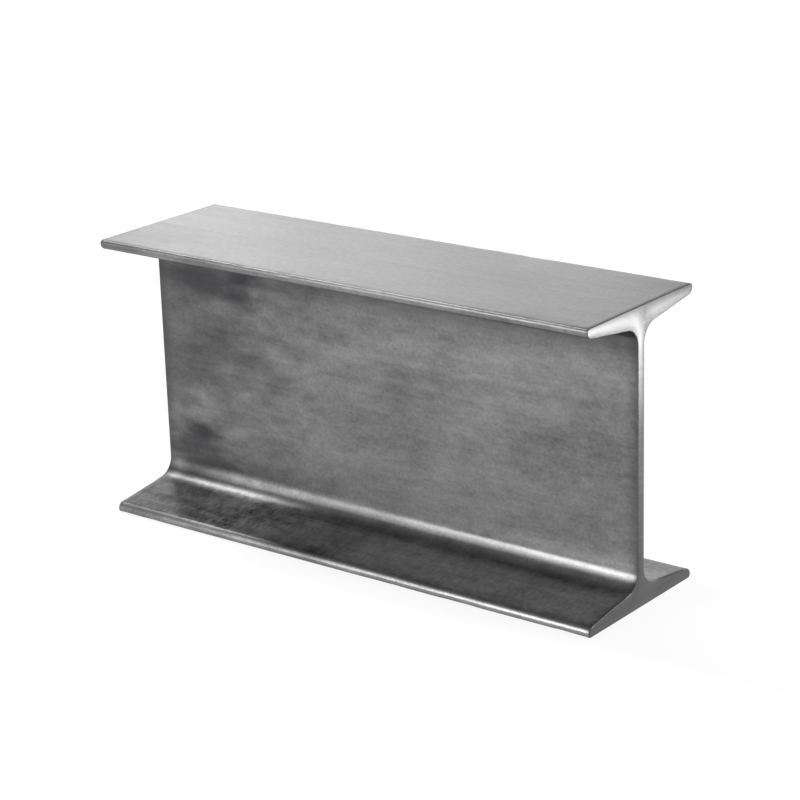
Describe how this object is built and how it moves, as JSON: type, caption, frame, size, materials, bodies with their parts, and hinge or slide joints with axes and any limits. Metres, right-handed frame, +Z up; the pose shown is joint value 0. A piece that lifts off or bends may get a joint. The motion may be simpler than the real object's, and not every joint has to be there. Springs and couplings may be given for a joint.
{
  "type": "steel i-beam",
  "caption": "Short length of hot-rolled steel I-beam with tapered flanges, rounded roots and toes, square sawn ends and a dull grey mill finish.",
  "frame": {"origin": "middle of the lower flange's underside", "axes": "+X along the beam, +Y across the flanges, +Z up the depth of the section"},
  "size_m": [0.25, 0.075, 0.125],
  "materials": {
    "rolled_steel": "hot-rolled mill finish, dull grey, mottled and faintly streaked along the beam; sawn ends brighter"
  },
  "bodies": {
    "root": {"i_beam": "rolled_steel"}
  },
  "joints": []
}
